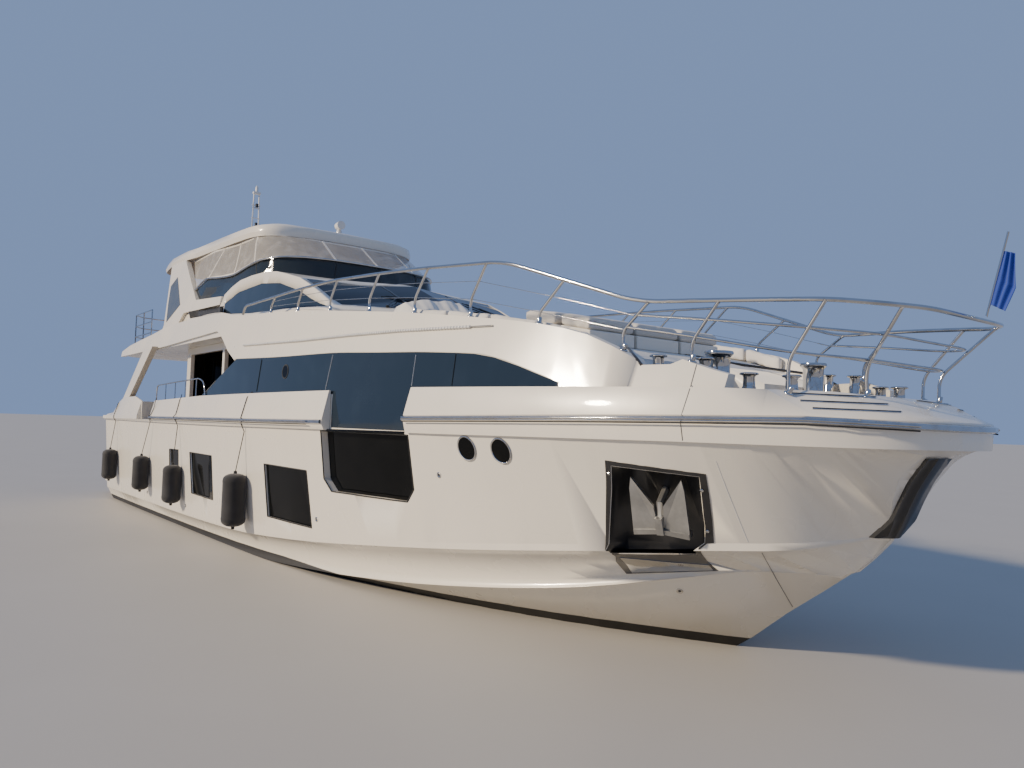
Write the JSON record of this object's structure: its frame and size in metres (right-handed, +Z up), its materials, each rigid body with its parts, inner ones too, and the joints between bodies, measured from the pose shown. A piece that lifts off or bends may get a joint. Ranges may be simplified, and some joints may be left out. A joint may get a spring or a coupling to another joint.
{
  "type": "flybridge motor yacht",
  "caption": "Flybridge motor yacht with a flared planing hull, glazed main deck, pilothouse, hardtop, bow rail, side gates, garage door and lowering swim platform.",
  "frame": {"origin": "amidships on the centreline at the waterline", "axes": "+X towards the bow, +Y to port, +Z up"},
  "size_m": [27.172, 6.674, 11.77],
  "materials": {
    "gelcoat": "warm white gelcoat",
    "grey_paint": "dark grey paint",
    "dark_glass": "tinted",
    "clear_vinyl": "clear sheet",
    "steel": "polished stainless steel",
    "galvanised": "galvanised",
    "bronze": "bare cast bronze",
    "teak": "laid planks",
    "cushion_cloth": "off-white cover cloth",
    "cast_grey": "painted casting",
    "flag_cloth": "plain blue cloth",
    "lamp_white": "white paint"
  },
  "bodies": {
    "yacht": {"hull": "gelcoat", "bulwark_port": "gelcoat", "bulwark_starboard": "gelcoat", "bow_bulwark": "gelcoat", "upper_house": "gelcoat", "bow_deck": "gelcoat", "upper_deck": "gelcoat", "saloon_side_port": "gelcoat", "saloon_side_starboard": "gelcoat", "fly_stair": "gelcoat", "wheelhouse": "gelcoat", "fly_side_port": "gelcoat", "fly_side_starboard": "gelcoat", "hardtop": "gelcoat", "fly_helm": "gelcoat", "fly_bar": "gelcoat", "stem_guard": "grey_paint", "hull_window_port": "dark_glass", "hull_window_starboard": "dark_glass", "house_glass_port": "dark_glass", "house_glass_starboard": "dark_glass", "saloon_aft": "dark_glass", "windscreen": "dark_glass", "wheelhouse_glass_port": "dark_glass", "wheelhouse_glass_starboard": "dark_glass", "fly_screen": "dark_glass", "fly_curtain": "clear_vinyl", "rub_rail_port": "steel", "rub_rail_starboard": "steel", "rub_rail_bow": "steel", "fly_rail": "steel", "bow_rail": "steel", "jackstaff": "steel", "anchor_port": "galvanised", "anchor_starboard": "galvanised", "main_deck": "teak", "cockpit_table": "teak", "foredeck_sunpad": "cushion_cloth", "foredeck_sofa": "cushion_cloth", "fly_helm_seat": "cushion_cloth", "fly_sofa": "cushion_cloth", "fly_lounger": "cushion_cloth", "cockpit_sofa": "cushion_cloth", "engine_port": "cast_grey", "engine_starboard": "cast_grey", "flag": "flag_cloth", "light_mast": "lamp_white"},
    "searchlight": {"searchlight": "lamp_white"},
    "saloon_door_port": {"saloon_door_port": "dark_glass"},
    "saloon_door_starboard": {"saloon_door_starboard": "dark_glass"},
    "propeller_port": {"propeller_port": "bronze"},
    "propeller_starboard": {"propeller_starboard": "bronze"},
    "rudder_port": {"rudder_port": "bronze"},
    "rudder_starboard": {"rudder_starboard": "bronze"},
    "swim_platform": {"swim_platform": "teak"},
    "garage_door": {"garage_door": "gelcoat"},
    "gate_port": {"gate_port": "gelcoat"},
    "gate_starboard": {"gate_starboard": "grey_paint"}
  },
  "joints": [
    {"name": "searchlight_pan", "type": "hinge", "parent": "yacht", "child": "searchlight", "pos_m": [-1.51, 0, 7.4], "axis": [0, 0, 1], "range_deg": [-170, 170]},
    {"name": "saloon_door_port_slide", "type": "slide", "parent": "yacht", "child": "saloon_door_port", "axis": [0, 1, 0], "range_m": [0, 0.95]},
    {"name": "saloon_door_starboard_slide", "type": "slide", "parent": "yacht", "child": "saloon_door_starboard", "axis": [0, -1, 0], "range_m": [0, 0.95]},
    {"name": "propeller_port_spin", "type": "hinge", "parent": "yacht", "child": "propeller_port", "pos_m": [-9.31, 1.25, -1.2863], "axis": [0.9851, 0, 0.1721], "continuous": true},
    {"name": "propeller_starboard_spin", "type": "hinge", "parent": "yacht", "child": "propeller_starboard", "pos_m": [-9.31, -1.25, -1.2863], "axis": [0.9851, 0, 0.1721], "continuous": true},
    {"name": "rudder_port_turn", "type": "hinge", "parent": "yacht", "child": "rudder_port", "pos_m": [-10.36, 1.25, -1], "axis": [0, 0, 1], "range_deg": [-35, 35]},
    {"name": "rudder_starboard_turn", "type": "hinge", "parent": "yacht", "child": "rudder_starboard", "pos_m": [-10.36, -1.25, -1], "axis": [0, 0, 1], "range_deg": [-35, 35]},
    {"name": "swim_platform_lift", "type": "slide", "parent": "yacht", "child": "swim_platform", "axis": [0, 0, 1], "range_m": [-0.65, 0]},
    {"name": "garage_door_lift", "type": "hinge", "parent": "yacht", "child": "garage_door", "pos_m": [-11.08, 0, 1.506], "axis": [0, 1, 0], "range_deg": [0, 80]},
    {"name": "gate_port_swing", "type": "hinge", "parent": "yacht", "child": "gate_port", "pos_m": [-6.734, 3.179, 2.6], "axis": [0, 0, 1], "range_deg": [-90, 0]},
    {"name": "gate_starboard_swing", "type": "hinge", "parent": "yacht", "child": "gate_starboard", "pos_m": [-6.734, -3.179, 2.6], "axis": [0, 0, 1], "range_deg": [-90, 0]}
  ],
  "couplings": [
    {"joint": "rudder_starboard_turn", "follows": "rudder_port_turn", "ratio": 1}
  ]
}
